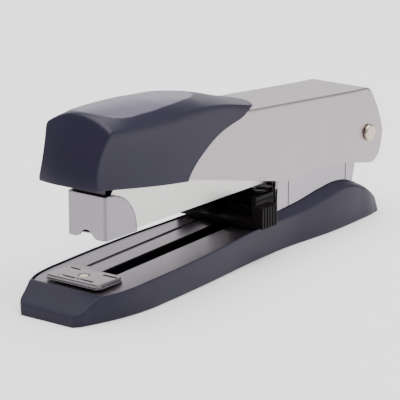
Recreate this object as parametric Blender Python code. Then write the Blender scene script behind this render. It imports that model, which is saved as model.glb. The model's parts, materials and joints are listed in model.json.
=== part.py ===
"""Full-strip desk stapler as an assembly of separate pieces, for Blender 4.5.

Lengths below are in millimetres in the maker's frame: X across, Y from the front of the nose
towards the rear, Z up from the table. The empty "stapler_frame" puts the origin under the middle
of the base. Every piece that turns or slides hangs from an empty on its own joint axis.
"""
import math

import bmesh
import bpy
import numpy as np

MM = 0.001
GAP = 0.3                     # clearance between pieces that touch
FRAME_Y = -66.75              # moves the nose frame so that the origin lies under the base's middle

# Driving dimensions
PIN_Y, PIN_Z = 143.0, 30.8    # hinge pin that magazine, loading frame and handle share
PIN_R = 2.0
DECK_Z, DECK_SLOPE = 9.1, 0.036     # height of the base's rim at the nose, and its rise to the rear
PLATE_DROP, PLATE_THICK = 0.4, 1.0
SLOT_MID, SLOT_HALF, SLOT_FRONT, SLOT_REAR = 1.8, 3.08, 8.8, 85.0     # the slot lies right of the middle
NOSE_HALF, NOSE_LOW, NOSE_HIGH = 7.87, 22.6, 37.0
CHANNEL_HALF, CHANNEL_LOW, CHANNEL_HIGH = 6.91, 23.2, 38.4
CHANNEL_SHEET = 0.45
CHANNEL_END_R = 7.6
FRAME_HALF, FRAME_SHEET = 8.1, 0.8
BRACKET_HALF, BRACKET_SHEET = 10.9, 1.0
COVER_HALF, COVER_SHEET = 12.33, 1.0
ANVIL_Y, ANVIL_TOP, ANVIL_SHEET = -1.5, 10.6, 1.2
STAPLE_HALF, STAPLE_WIRE, STAPLE_TOP, STAPLE_LEG = 6.35, 0.5, 30.1, 5.8
STRIP_FRONT, STRIP_LENGTH = 2.6, 51.0
DRIVER_Y, DRIVER_THICK = 1.35, 0.6
SPRING_Y, SPRING_R = 95.5, 3.5      # lift spring under the magazine
PRESS_Y, PRESS_R = 66.0, 3.6        # return spring between loading frame and handle
COIL_WIRE = 0.9
PUSH_R, PUSH_WIRE, PUSH_REAR = 1.75, 0.5, 130.0     # staple pusher's spring
SHELL_INSET, PLATE_INSET = 0.75, 1.05     # rim to recess wall, and rim to plate edge
SPACER_R, SLEEVE_R = 4.2, 3.1
GUIDE_FRONT = 70.0


# ---------------------------------------------------------------- scene and modelling helpers
for old in list(bpy.data.objects):
    bpy.data.objects.remove(old, do_unlink=True)


def empty(name, location, parent=None):
    """Empty at a place in the nose frame; the frame empty itself carries the shift in Y."""
    pivot = bpy.data.objects.new(name, None)
    pivot.empty_display_size = 0.01
    bpy.context.scene.collection.objects.link(pivot)
    start = parent["place"] if parent else (0.0, 0.0, 0.0)
    pivot["place"] = location
    pivot.location = [(a - b) * MM for a, b in zip(location, start)]
    pivot.parent = parent
    return pivot


def material(name, colour, roughness, metallic=0.0):
    mat = bpy.data.materials.new(name)
    mat.use_nodes = True
    shader = mat.node_tree.nodes["Principled BSDF"]
    shader.inputs["Base Color"].default_value = (*colour, 1.0)
    shader.inputs["Roughness"].default_value = roughness
    shader.inputs["Metallic"].default_value = metallic
    return mat


def piece(name, shape, mat, pivot, smooth=False):
    """Object from (points, faces) in the nose frame, its origin on the pivot."""
    points, faces = shape
    mesh = bpy.data.meshes.new(name)
    local = (np.asarray(points, float) - np.asarray(pivot["place"])) * MM
    mesh.from_pydata(local.tolist(), [], faces)
    work = bmesh.new()
    work.from_mesh(mesh)
    bmesh.ops.recalc_face_normals(work, faces=work.faces)
    work.to_mesh(mesh)
    work.free()
    if smooth:
        mesh.shade_smooth()
        mesh.set_sharp_from_angle(angle=math.radians(35))
    mesh.materials.append(mat)
    obj = bpy.data.objects.new(name, mesh)
    obj.parent = pivot
    bpy.context.scene.collection.objects.link(obj)
    return obj


def combine(target, operation, *shapes):
    """Live Boolean of the target with hidden helper solids, one modifier each."""
    for number, shape in enumerate(shapes):
        helper = piece(f"{target.name}_{operation.lower()}_{number}", shape, target.data.materials[0],
                       target.parent)
        helper.hide_render = True
        helper.display_type = "WIRE"
        tool = target.modifiers.new(helper.name, "BOOLEAN")
        tool.operation = operation
        tool.solver = "EXACT"
        tool.object = helper
    return target


def cut(target, *shapes):
    return combine(target, "DIFFERENCE", *shapes)


def join(target, *shapes):
    return combine(target, "UNION", *shapes)


# ---------------------------------------------------------------- shapes: (points, faces)
def loft(rings):
    """Closed solid through rings of equal point count, with flat ends."""
    count = len(rings[0])
    points = [p for ring in rings for p in ring]
    faces = [tuple(range(count))]
    for r in range(len(rings) - 1):
        for i in range(count):
            j = (i + 1) % count
            faces.append((r * count + i, r * count + j, (r + 1) * count + j, (r + 1) * count + i))
    faces.append(tuple(range((len(rings) - 1) * count, len(rings) * count)))
    return points, faces


def prism_x(outline, x0, x1):
    """Outline of (y, z) points carried from x0 to x1."""
    return loft([[(x, y, z) for y, z in outline] for x in (x0, x1)])


def prism_z(outline, z0, z1, slope=0.0):
    """Outline of (x, y) points carried from z0 to z1, both faces rising with y by the slope."""
    return loft([[(x, y, z + slope * y) for x, y in outline] for z in (z0, z1)])


def box(x0, x1, y0, y1, z0, z1):
    return prism_x([(y0, z0), (y1, z0), (y1, z1), (y0, z1)], x0, x1)


def arc(cy, cz, radius, start, end, steps):
    """Points on a circle, angles in degrees from +first axis towards +second axis."""
    angles = np.radians(np.linspace(start, end, steps + 1))
    return [(cy + radius * math.cos(a), cz + radius * math.sin(a)) for a in angles]


def rod(x0, x1, y, z, radius, sides=24):
    """Round bar along X."""
    return prism_x(arc(y, z, radius, 0, 360 - 360 / sides, sides - 1), x0, x1)


def post(x, y, z0, z1, radius, sides=24):
    """Round bar along Z."""
    return prism_z(arc(x, y, radius, 0, 360 - 360 / sides, sides - 1), z0, z1)


def rod_y(x, z, y0, y1, radius, sides=12):
    """Round bar along Y."""
    ring = arc(x, z, radius, 0, 360 - 360 / sides, sides - 1)
    return loft([[(a, y, b) for a, b in ring] for y in (y0, y1)])


def coil(centre, axis, radius, wire, length, turns, steps=14, sides=6):
    """Helical wire spring standing on its centre point along Y or Z."""
    rings = []
    for k in range(turns * steps + 1):
        angle = 2 * math.pi * k / steps
        out = np.array([math.cos(angle), math.sin(angle), 0.0])
        middle = radius * out + np.array([0, 0, wire / 2 + (length - wire) * k / (turns * steps)])
        ring = []
        for s in range(sides):
            t = 2 * math.pi * s / sides
            ring.append(middle + wire / 2 * (math.cos(t) * out + math.sin(t) * np.array([0, 0, 1.0])))
        rings.append(ring)
    points, faces = loft(rings)
    points = np.array(points)
    if axis == "Y":
        points = points[:, [0, 2, 1]]
    return points + np.asarray(centre), faces


def curve(y, *knots):
    """Smooth value at y through (y, value) knots, its slopes taken from their neighbours."""
    ys, vs = np.array(knots, float).T
    slopes = np.gradient(vs, ys)
    y = float(np.clip(y, ys[0], ys[-1]))
    i = int(np.clip(np.searchsorted(ys, y) - 1, 0, len(ys) - 2))
    h = ys[i + 1] - ys[i]
    t = (y - ys[i]) / h
    return float((2 * t**3 - 3 * t**2 + 1) * vs[i] + (t**3 - 2 * t**2 + t) * h * slopes[i]
                 + (3 * t**2 - 2 * t**3) * vs[i + 1] + (t**3 - t**2) * h * slopes[i + 1])


def mirrored(half):
    """Closed ring from a half outline that runs from bottom centre to top centre at +X."""
    return half + [(-x, y, z) for x, y, z in reversed(half) if x > 1e-6]


# ---------------------------------------------------------------- materials and pivots
SLATE = material("slate_plastic", (0.085, 0.082, 0.115), 0.42)
BLACK = material("black_plastic", (0.02, 0.018, 0.02), 0.5)
RUBBER = material("sole_rubber", (0.03, 0.03, 0.032), 0.85)
SATIN = material("satin_steel", (0.5, 0.46, 0.47), 0.34, 1.0)
BRIGHT = material("bright_steel", (0.62, 0.58, 0.6), 0.28, 1.0)
PALE = material("pale_steel", (0.72, 0.7, 0.68), 0.35, 1.0)
SPRING = material("spring_steel", (0.4, 0.4, 0.42), 0.3, 1.0)
NICKEL = material("nickel", (0.7, 0.63, 0.52), 0.22, 1.0)

base = empty("stapler_frame", (0.0, 0.0, 0.0))
base.location = (0.0, FRAME_Y * MM, 0.0)
magazine = empty("magazine_pivot", (0.0, PIN_Y, PIN_Z), base)
loader = empty("loading_frame_pivot", (0.0, PIN_Y, PIN_Z), magazine)
handle = empty("handle_pivot", (0.0, PIN_Y, PIN_Z), loader)
driver = empty("driver_slider", (0.0, DRIVER_Y, STAPLE_TOP), loader)
pusher = empty("pusher_slider", (0.0, STRIP_FRONT + STRIP_LENGTH, CHANNEL_LOW), magazine)
anvil = empty("anvil_pivot", (0.0, ANVIL_Y, ANVIL_TOP), base)
guide = empty("paper_guide_slider", (0.0, GUIDE_FRONT, DECK_Z), base)


def deck(y):
    """Height of the base's rim line."""
    return DECK_Z + DECK_SLOPE * y


# ---------------------------------------------------------------- base
def foot_half(y):
    return curve(y, (-19.8, 10.5), (-14.6, 13.3), (-7.7, 15.7), (0, 17.6), (9, 18.5), (20, 18.1),
                 (47, 16.3), (62, 14.9), (75, 14.0), (93, 13.6), (104, 14.4), (118, 15.1), (135, 14.5),
                 (146, 13.6), (150.5, 12.4), (153.3, 9.8))


def rim_half(y):
    return curve(y, (-19.4, 11.2), (-10.9, 14.55), (-6.5, 16.7), (0, 18.0), (10, 18.25), (33, 18.1),
                 (47, 17.5), (59.5, 16.5), (70, 15.7), (81, 14.9), (93, 14.2), (104, 14.2), (118, 14.4),
                 (135, 13.9), (146, 12.6), (150.5, 11.2), (153.3, 8.6))


def ridge_z(y):
    """Outer top edge: chamfered nose end, straight rim, then the hump beside the bracket."""
    if y < -10.9:
        return float(np.interp(y, (-19.8, -19.4, -10.9), (3.2, 3.6, deck(-10.9))))
    if y < 60:
        return deck(y)
    return curve(y, (50, deck(50)), (60, deck(60)), (70, 11.6), (81, 11.5), (93, 11.1), (104, 11.5),
                 (116, 13.2), (127, 14.2), (137, 11.9), (144, 8.7), (148, 5.9), (151, 2.9), (153.3, 0.7))


def crown_z(y):
    """Inner height, where the hump rises to the bracket's foot."""
    if y < 60:
        return ridge_z(y)
    return curve(y, (50, deck(50)), (60, deck(60)), (70, 11.7), (80, 12.2), (88, 13.0), (102, 14.2),
                 (115, 15.9), (124, 16.5), (131, 15.6), (137, 13.2), (144, 9.6), (148, 6.6), (151, 3.4),
                 (153.3, 0.9))


def base_ring(y, shrink=0.0, low=0.0, top=None):
    foot = foot_half(y) - shrink
    rim = rim_half(y) - shrink
    edge = ridge_z(y) if top is None else top
    crown = crown_z(y) if top is None else top
    inner = min(11.2, rim - 1.0)
    half = [(0, y, low), (foot, y, low), (0.5 * (foot + rim), y, 0.5 * (low + edge)),
            (rim, y, edge), (inner, y, crown), (0, y, crown)]
    return mirrored([(x, yy, z) for x, yy, z in half])


stations = [-19.8, -19.4, -16.5, -13.6, -10.9, -8.5, -6, -3, 0, 4, 8, 13, 20, 28, 36, 44, 52, 58, 64, 70,
            76, 82, 88, 94, 100, 106, 112, 118, 124, 129, 133, 137, 141, 144.5, 147.5, 150, 152, 153.3]
shell = piece("base_shell", loft([base_ring(y) for y in stations]), SLATE, base)

POCKET_HALF, POCKET_FRONT, POCKET_REAR = 11.2, 84.0, 137.2
plate_low = DECK_Z - PLATE_DROP - PLATE_THICK


def plate_outline(inset):
    """Plan of the top plate: follows the rim, then runs on narrower under the bracket."""
    front = -10.9 + inset
    ys = [front, -8.5, -6, -3, 0, 4, 8, 13, 20, 28, 36, 44, 52, 58, 64, 70, 76, POCKET_FRONT]
    side = [(rim_half(y) - inset, y) for y in ys]
    rear = POCKET_REAR - (inset - SHELL_INSET)
    narrow = POCKET_HALF - (inset - SHELL_INSET)
    side += [(narrow, POCKET_FRONT + 1.0), (narrow, rear)]
    return side + [(-x, y) for x, y in reversed(side)]


cut(shell,
    prism_z(plate_outline(SHELL_INSET), plate_low - GAP, plate_low + 12.0, DECK_SLOPE),
    box(SLOT_MID - SLOT_HALF - 1.2, SLOT_MID + SLOT_HALF + 1.2, SLOT_FRONT - 1.0, SLOT_REAR + 2.0, -1.0, 12.0),
    loft([base_ring(y, 2.2, -1.0, 5.0 + 0.02 * (y + 12)) for y in (-14, -10, -5, 0, 8, 20, 44, 64, 88, 104,
                                                                  124, 140)]),
    post(0, ANVIL_Y, 2.0, 12.0, 5.0))

plate_top = DECK_Z - PLATE_DROP
plate = piece("base_plate", prism_z(plate_outline(PLATE_INSET), plate_low, plate_top, DECK_SLOPE), SATIN, base)
GROOVE_X, GROOVE_HALF, GROOVE_DEEP = -8.5, 0.85, 0.55
slot_left, slot_right = SLOT_MID - SLOT_HALF, SLOT_MID + SLOT_HALF
cut(plate, prism_z([(slot_left, SLOT_FRONT), (slot_right, SLOT_FRONT), (slot_right, SLOT_REAR),
                    (slot_left, SLOT_REAR)], 0.0, 12.0, DECK_SLOPE),
    prism_z([(GROOVE_X - GROOVE_HALF, 10.6), (GROOVE_X + GROOVE_HALF, 10.6),
             (GROOVE_X + GROOVE_HALF, 86.0), (GROOVE_X - GROOVE_HALF, 86.0)],
            plate_top - GROOVE_DEEP, plate_top + 2, DECK_SLOPE),
    post(0, ANVIL_Y, 0.0, 14.0, 2.9))

sole_side = [(foot_half(y) - 2.7, y) for y in (-13.4, -10, -5, 0, 8, 20, 44, 64, 88, 104, 124, 139.4)]
sole_plan = sole_side + [(-x, y) for x, y in reversed(sole_side)]
sole = piece("base_sole", prism_z(sole_plan, 0.0, 1.5), RUBBER, base)
cut(sole, post(0, ANVIL_Y, -1.0, 3.0, 4.4))

# ---------------------------------------------------------------- anvil, its stem and its button
a_half, a_front, a_rear, a_r = 11.3, ANVIL_Y - 6.5, ANVIL_Y + 6.5, 2.0
anvil_plan = (arc(a_half - a_r, a_front + a_r, a_r, -90, 0, 4) + arc(a_half - a_r, a_rear - a_r, a_r, 0, 90, 4)
              + arc(-a_half + a_r, a_rear - a_r, a_r, 90, 180, 4)
              + arc(-a_half + a_r, a_front + a_r, a_r, 180, 270, 4))
anvil_low = ANVIL_TOP - ANVIL_SHEET
anvil_plate = piece("anvil_plate", prism_z(anvil_plan, anvil_low, ANVIL_TOP), BRIGHT, anvil)


def pocket(x0, x1, y):
    """Shallow clinching groove, rounded along X so that it turns a staple leg."""
    n = 8
    top, deep, half = ANVIL_TOP + 0.5, 0.55, 0.6
    xs = np.linspace(x0, x1, n + 1)
    floor = [(x, ANVIL_TOP - deep * math.sin(math.pi * k / n) - 0.02) for k, x in enumerate(xs)]
    ring = [(x0, top)] + floor + [(x1, top)]
    return loft([[(x, yy, z) for x, z in ring] for yy in (y - half, y + half)])


cut(anvil_plate, pocket(-7.0, -0.35, ANVIL_Y - 3.95), pocket(0.35, 7.0, ANVIL_Y - 3.95),
    pocket(-10.4, -4.9, ANVIL_Y + 3.95), pocket(4.9, 10.4, ANVIL_Y + 3.95), post(0, ANVIL_Y, 0, 14, 1.75))
stem = piece("anvil_rivet", post(0, ANVIL_Y, 2.9, ANVIL_TOP - 0.1, 1.6), NICKEL, anvil, smooth=True)
join(stem, post(0, ANVIL_Y, anvil_low - 0.6, anvil_low - 0.1, 2.5))
piece("anvil_button", post(0, ANVIL_Y, 1.0, 2.6, 4.0), BLACK, anvil, smooth=True)
anvil_spring = piece("anvil_spring", post(0, ANVIL_Y, 3.4, 4.0, 4.6), SPRING, base, smooth=True)
cut(anvil_spring, post(0, ANVIL_Y, 2.0, 6.0, 2.0))
join(anvil_spring, box(-2.2, 2.2, ANVIL_Y + 3.4, ANVIL_Y + 12.0, 3.4, 4.0))

# ---------------------------------------------------------------- bracket, lift spring and its seat
def bracket_floor(y, above=0.0):
    """Height over the plate under the bracket, which lies along the plate's slope."""
    return plate_top + DECK_SLOPE * y + GAP + above


BRACKET_REAR = 135.0
ear_r = 7.4
cheek = ([(88.4, bracket_floor(88.4)), (89.2, 25.0), (101.0, 33.0), (134.0, PIN_Z + ear_r - 0.6)]
         + arc(PIN_Y, PIN_Z, ear_r, 95, -62, 14)
         + [(137.2, 21.6), (BRACKET_REAR, bracket_floor(BRACKET_REAR))])
bracket = piece("hinge_bracket", prism_x(cheek, -BRACKET_HALF, BRACKET_HALF), BRIGHT, base)
inner = BRACKET_HALF - BRACKET_SHEET
inside = [(80.0, bracket_floor(80, 1.1)), (160.0, bracket_floor(160, 1.1)), (160.0, 60.0), (80.0, 60.0)]
cut(bracket, prism_x(inside, -inner, inner), rod(-20, 20, PIN_Y, PIN_Z, PIN_R + 0.05),
    *[box(s * BRACKET_HALF - 0.35, s * BRACKET_HALF + 0.35, y - 0.25, y + 0.25, 5, 60)
      for s in (-1, 1) for y in (95.4, 130.7)])
for name, y in (("bracket_rivet_front", 106.0), ("bracket_rivet_rear", 126.0)):
    under = bracket_floor(y + 2.6, 1.1) + GAP / 3
    rivet = piece(name, post(0, y, under, under + 1.0, 2.6), NICKEL, base, smooth=True)
    join(rivet, post(0, y, 7.4, under + 0.5, 1.3, 16))
    cut(bracket, post(0, y, 0, 20, 1.6, 16))
    cut(plate, post(0, y, 0, 20, 1.6, 16))
    cut(shell, post(0, y, 5, 20, 1.6, 16))

seat_low = bracket_floor(101.5, 1.1) + GAP / 3
seat = piece("lift_spring_seat", box(-9.5, 9.5, 89.6, 101.5, seat_low, 24.2), BLACK, base)
cut(seat, box(-8.45, 8.45, 80, 110, seat_low + 1.0, 40), box(-20, 20, 95, 110, seat_low + 4.5, 40))
join(seat, box(-8.6, 8.6, 89.6, 90.8, seat_low + 0.5, 17.6))
cut(seat, post(0, SPRING_Y, seat_low + 0.4, 16, 4.4))
lift_low = seat_low + 0.4 + GAP / 2
piece("lift_spring", coil((0, SPRING_Y, lift_low), "Z", SPRING_R, COIL_WIRE, CHANNEL_LOW - 0.15 - lift_low, 4),
      SPRING, base, smooth=True)

# ---------------------------------------------------------------- hinge pin and spacers
pin = piece("pivot_pin", rod(-12.35, 12.9, PIN_Y, PIN_Z, PIN_R), NICKEL, base, smooth=True)
HEAD_IN, HEAD_OUT, HEAD_R = COVER_HALF + 0.25, COVER_HALF + 1.4, 3.0


def head(side, first):
    """Domed rivet head on the outside of the cover."""
    xs = (first, HEAD_OUT - 0.5, HEAD_OUT - 0.15, HEAD_OUT)
    rs = (HEAD_R, HEAD_R, HEAD_R - 0.35, HEAD_R - 1.1)
    return loft([[(side * x, y, z) for y, z in arc(PIN_Y, PIN_Z, r, 0, 345, 23)] for x, r in zip(xs, rs)])


join(pin, head(1, HEAD_IN))
piece("pivot_pin_cap", head(-1, HEAD_IN + GAP / 3), NICKEL, base, smooth=True)
for side, name in ((-1, "pivot_spacer_left"), (1, "pivot_spacer_right")):
    spacer = piece(name, rod(side * 8.4, side * 9.65, PIN_Y, PIN_Z, SPACER_R), SATIN, base, smooth=True)
    cut(spacer, rod(-20, 20, PIN_Y, PIN_Z, PIN_R + 0.08))

# ---------------------------------------------------------------- paper guide
def ribbed_grip(side):
    """Upright finger block beside the plate, ribbed on its outer face."""
    ribs, y0, y1 = 6, GUIDE_FRONT, GUIDE_FRONT + 9.0
    pitch = (y1 - y0) / ribs
    plan = [(14.1, y0)]
    for k in range(ribs):
        a = y0 + k * pitch
        plan += [(18.3, a), (18.3, a + 0.6 * pitch), (17.9, a + 0.7 * pitch), (17.9, a + pitch)]
    plan += [(14.1, y1)]
    return prism_z([(side * x, y) for x, y in plan], 12.1, 19.4)


slab_low = plate_top + GAP
paper_guide = piece("paper_guide", prism_z([(-14.4, GUIDE_FRONT), (14.4, GUIDE_FRONT), (14.4, 80.5),
                                            (-14.4, 80.5)], slab_low + 0.1, slab_low + 2.2, DECK_SLOPE),
                    BLACK, guide)
for side in (-1, 1):
    join(paper_guide, ribbed_grip(side))
    join(paper_guide, box(side * 8.7, side * 10.6, 76.6, 87.2, 12.0, 20.6))
    join(paper_guide, box(side * 8.7, side * 14.2, 76.6, 80.4, 12.0, 16.8))
cut(paper_guide, *[box(s * 10.6 - 0.3, s * 10.6 + 0.3, 70, 90, 18.9, 19.3) for s in (-1, 1)])
guide_low = slab_low + 0.1 + DECK_SLOPE * 75
GUIDE_KEY = 2.72              # half width of the block that runs in the slot
join(paper_guide, box(SLOT_MID - GUIDE_KEY, SLOT_MID + GUIDE_KEY, 72.0, 80.0, 8.3, guide_low + 1.0))
clip = piece("guide_clip", box(SLOT_MID - 6.0, SLOT_MID + 6.0, 71.0, 81.0, 5.15, 5.95), SPRING, guide)
guide_screw = piece("guide_screw", post(SLOT_MID, 76, 3.6, 4.85, 2.3), SPRING, guide, smooth=True)
join(guide_screw, post(SLOT_MID, 76, 4.0, 10.5, 1.0, 16))
cut(clip, post(SLOT_MID, 76, 0, 20, 1.15, 16))
cut(paper_guide, post(SLOT_MID, 76, 0, 10.9, 1.15, 16))
guide_block = piece("guide_spacer", box(SLOT_MID - GUIDE_KEY, SLOT_MID + GUIDE_KEY, 72.0, 80.0, 6.25, 8.0), BLACK, guide)
cut(guide_block, post(SLOT_MID, 76, 0, 20, 1.15, 16))

# ---------------------------------------------------------------- magazine
channel_side = ([(2.6, CHANNEL_LOW), (2.6, 35.6), (5.2, CHANNEL_HIGH)]
                + arc(PIN_Y, PIN_Z, CHANNEL_END_R, 90, -90, 12))
channel = piece("magazine_channel", prism_x(channel_side, -CHANNEL_HALF, CHANNEL_HALF), PALE, magazine)
bore_half = CHANNEL_HALF - CHANNEL_SHEET
cut(channel, box(-bore_half, bore_half, -10, 170, CHANNEL_LOW + CHANNEL_SHEET, 60),
    rod(-20, 20, PIN_Y, PIN_Z, 3.3))
channel_floor = CHANNEL_LOW + CHANNEL_SHEET + GAP

nose_rear = [(2.2, NOSE_HIGH), (3.9, NOSE_HIGH)] + arc(2.2, 23.4, 13.5, 82, 0, 8) + [(15.7, NOSE_LOW)]
nose_side = [(0.0, NOSE_LOW), (0.0, NOSE_HIGH)] + nose_rear
nose = piece("nose_plate", prism_x(nose_side, -NOSE_HALF, NOSE_HALF), BRIGHT, magazine)
notch = [(-4.3, 20.0), (-4.3, 22.9), (-3.4, 23.9), (-2.3, 23.5), (-1.6, 24.6), (-0.8, 25.2), (0.8, 25.2),
         (1.6, 24.6), (2.3, 23.5), (3.4, 23.9), (4.3, 22.9), (4.3, 20.0)]
cut(nose, box(-7.06, 7.06, 0.95, 40, 10, 50),
    loft([[(x, y, z) for x, z in notch] for y in (-1.0, 0.97)]))

sleeve = piece("pivot_sleeve", rod(-6.3, 6.3, PIN_Y, PIN_Z, SLEEVE_R), SATIN, magazine, smooth=True)
cut(sleeve, rod(-20, 20, PIN_Y, PIN_Z, PIN_R + 0.06))

RAIL_HALF = 5.0
rail = piece("magazine_rail", box(-RAIL_HALF, RAIL_HALF, 3.2, 129.5, channel_floor, 28.9), SATIN, magazine)
cut(rail, box(-RAIL_HALF + 0.8, RAIL_HALF - 0.8, 0, 140, 20, 28.1))

strip_end = STRIP_FRONT + STRIP_LENGTH
leg_low = STAPLE_TOP - STAPLE_LEG
strip = piece("staple_strip", box(-STAPLE_HALF, STAPLE_HALF, STRIP_FRONT, strip_end, leg_low, STAPLE_TOP),
              PALE, magazine)
cut(strip, box(-STAPLE_HALF + STAPLE_WIRE, STAPLE_HALF - STAPLE_WIRE, 0, 80, 20, STAPLE_TOP - STAPLE_WIRE))

block = piece("magazine_end_block", box(-6.2, 6.2, 130.2, 135.0, channel_floor, 36.0), BLACK, magazine)
ROD_Z = 33.4
piece("pusher_rod", rod_y(0, ROD_Z, 17.0, 133.0, 0.8), SPRING, magazine, smooth=True)
cut(block, rod_y(0, ROD_Z, 100, 133.4, 0.95))

follower = piece("pusher", box(-6.1, 6.1, strip_end + GAP, strip_end + 12.5, 24.3, 30.6), SPRING, pusher)
cut(follower, box(-RAIL_HALF - 0.3, RAIL_HALF + 0.3, 0, 120, 20, 29.3))
join(follower, box(-2.6, 2.6, strip_end + 6.0, strip_end + 12.5, 30.0, 36.0))
cut(follower, rod_y(0, ROD_Z, 0, 120, 1.0))
push_start = strip_end + 12.5 + GAP / 2
piece("pusher_spring", coil((0, push_start, ROD_Z), "Y", PUSH_R, PUSH_WIRE, PUSH_REAR - push_start, 16, 10, 5),
      SPRING, magazine, smooth=True)

# ---------------------------------------------------------------- loading frame and driver
frame_in = FRAME_HALF - FRAME_SHEET
frame_top = 40.2
frame_side = ([(19.0, 36.2), (19.0, frame_top), (132.5, frame_top), (136.5, 38.2)]
              + arc(PIN_Y, PIN_Z, 6.8, 80, -90, 12) + [(136.0, 25.4), (128.0, 33.2)])
loading = piece("loading_frame", prism_x(frame_side, -FRAME_HALF, FRAME_HALF), SATIN, loader)
cut(loading, box(-frame_in, frame_in, 0, 170, 10, frame_top - FRAME_SHEET),
    box(-frame_in, frame_in, 132.6, 170, 10, 60),
    rod(-20, 20, PIN_Y, PIN_Z, PIN_R + 0.06), post(0, PRESS_Y, 30, 45, 1.2, 12))
piece("driver_leaf", box(-5.0, 5.0, 18.0, 58.0, frame_top + GAP, frame_top + GAP + 0.6), SPRING, loader)

blade = piece("driver_blade", box(-6.4, 6.4, DRIVER_Y, DRIVER_Y + DRIVER_THICK, STAPLE_TOP + 1.0, 44.5),
              SPRING, driver)
join(blade, box(-5.6, 5.6, DRIVER_Y + 0.1, 14.0, 43.7, 44.5))

# ---------------------------------------------------------------- handle: steel cover and plastic cap
def cover_top(y):
    """The cover's straight top line falls gently to the rear."""
    return 52.6 - 0.0767 * (y - 71.2)


def cover_low(y):
    """The cover's lower edge: rises straight towards the front."""
    return 28.2 - 0.222 * (y - 70.8)


COVER_FRONT = 21.0
cover_side = ([(COVER_FRONT, cover_top(COVER_FRONT)), (135.1, cover_top(135.1)), (141.0, 47.5), (143.6, 47.0),
               (144.9, 46.0), (146.3, 44.3), (149.1, 39.7), (151.2, 35.6), (152.4, 32.5), (152.4, 30.5),
               (151.6, 26.2), (150.7, 22.6), (149.1, 20.7), (147.2, 19.6), (144.6, 19.2), (138.0, 20.5),
               (131.5, 21.8), (118.7, 23.8), (109.0, 24.5), (100.3, 23.9), (93.1, 23.3), (82.4, 25.6),
               (COVER_FRONT, cover_low(COVER_FRONT))])
cover = piece("handle_cover", prism_x(cover_side, -COVER_HALF, COVER_HALF), SATIN, handle)
hollow = [(10.0, cover_top(10.0) - COVER_SHEET), (135.1, cover_top(135.1) - COVER_SHEET), (140.8, 46.5),
          (143.0, 46.1), (145.5, 43.8), (148.2, 39.3), (150.2, 35.2), (151.3, 32.3), (151.4, 31.5),
          (160.0, 31.5), (160.0, 5.0), (10.0, 5.0)]
wall_in = COVER_HALF - COVER_SHEET
cut(cover, prism_x(hollow, -wall_in, wall_in), rod(-20, 20, PIN_Y, PIN_Z, PIN_R + 0.08))

CAP_STATIONS = [9.0, 15.0, 22.0, 30.0, 38.0, 46.0, 53.0, 59.0, 65.0, 71.0, 76.0, 81.0]


def cap_ring(y, lean=0.0, pull=0.0):
    """Cross-section of the grip cap; lean tips the section back, pull narrows it at the front."""
    foot = curve(y, (-9, 12.2), (10, 12.6), (30, 13.1), (60, 13.2), (90, 13.2)) - pull
    low = curve(y, (-9, 41.7), (10, 38.8), (20, 37.3), (34, 35.7), (60, 33.0), (90, 31.0))
    wide = curve(y, (-9, 13.2), (5, 14.0), (20, 14.2), (40, 14.0), (60, 13.5), (90, 13.2)) - pull
    edge = curve(y, (-4, 59.2), (5, 58.4), (15, 57.8), (25, 57.8), (35, 58.2), (46, 58.1), (57, 56.9),
                 (68, 54.9), (78, 53.2), (90, 52.0))
    crown = curve(y, (-4, 63.4), (6, 65.0), (16, 65.2), (26, 64.7), (37, 63.4), (47, 61.7), (58, 59.3),
                  (68, 56.4), (76, 54.3), (81, 53.2), (90, 52.4))
    half = [(0.0, low), (foot, low), (0.5 * (foot + wide) + 0.15, 0.5 * (low + edge)), (wide, edge)]
    for part in (0.93, 0.75, 0.5, 0.25, 0.0):
        half.append((wide * part, edge + (crown - edge) * (1 - part**2.2)))
    return mirrored([(x, y + lean * (z - low), z) for x, z in half])


rings = [cap_ring(-10.0, 0.30, 1.5), cap_ring(-9.2, 0.29, 0.4), cap_ring(-7.0, 0.25)]
rings += [cap_ring(y, 0.18 - 0.017 * (y + 3.5)) for y in (-3.5, 0.0, 4.0)]
rings += [cap_ring(y) for y in CAP_STATIONS]
cap = piece("handle_cap", loft(rings), SLATE, handle)
seat_line = [(18.5, cover_top(18.5) + 0.35), (95.0, cover_top(95.0) + 0.35)]
arch = [(36.0, 36.0), (39.8, 40.0), (45.0, 44.2), (50.0, 47.1), (56.0, 49.3), (62.0, 50.6), (66.4, 51.7),
        (68.3, cover_top(68.3) + 0.36)]
rear_plan = [(x, 79.0 - 7.5 * (x / 12.5)**2) for x in np.linspace(-16, 16, 13)]
cut(cap, prism_x(seat_line + [(95.0, 20.0), (18.5, 20.0)], -12.5, 12.5),
    prism_x([(-6.6, 25.0), (-6.6, 44.0), (-2.5, 57.5), (19.0, 57.5), (19.0, 25.0)], -10.8, 10.8),
    prism_x([(34.2, 25.0)] + arch + [(95.0, cover_top(95.0) + 0.36), (95.0, 25.0)], -20, 20),
    prism_z(rear_plan + [(16, 100), (-16, 100)], 30, 80))

for name, y in (("cap_screw_front", 33.0), ("cap_screw_rear", 52.0)):
    under = cover_top(y) - COVER_SHEET - GAP
    screw = piece(name, post(0, y, under - 1.5, under, 2.4), SPRING, handle, smooth=True)
    join(screw, post(0, y, under - 0.5, under + 5.0, 1.0, 16))
    cut(cover, post(0, y, 40, 70, 1.25, 16))
    cut(cap, post(0, y, 40, under + 5.3, 1.2, 16))

press_low = frame_top + 0.15
press_high = cover_top(PRESS_Y) - COVER_SHEET - 0.4
piece("handle_spring", coil((0, PRESS_Y, press_low), "Z", PRESS_R, COIL_WIRE, press_high - press_low, 5),
      SPRING, loader, smooth=True)
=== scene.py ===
"""Desk stapler: looks, camera and light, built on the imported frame. Blender 4.5."""
import json
import math

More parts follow.
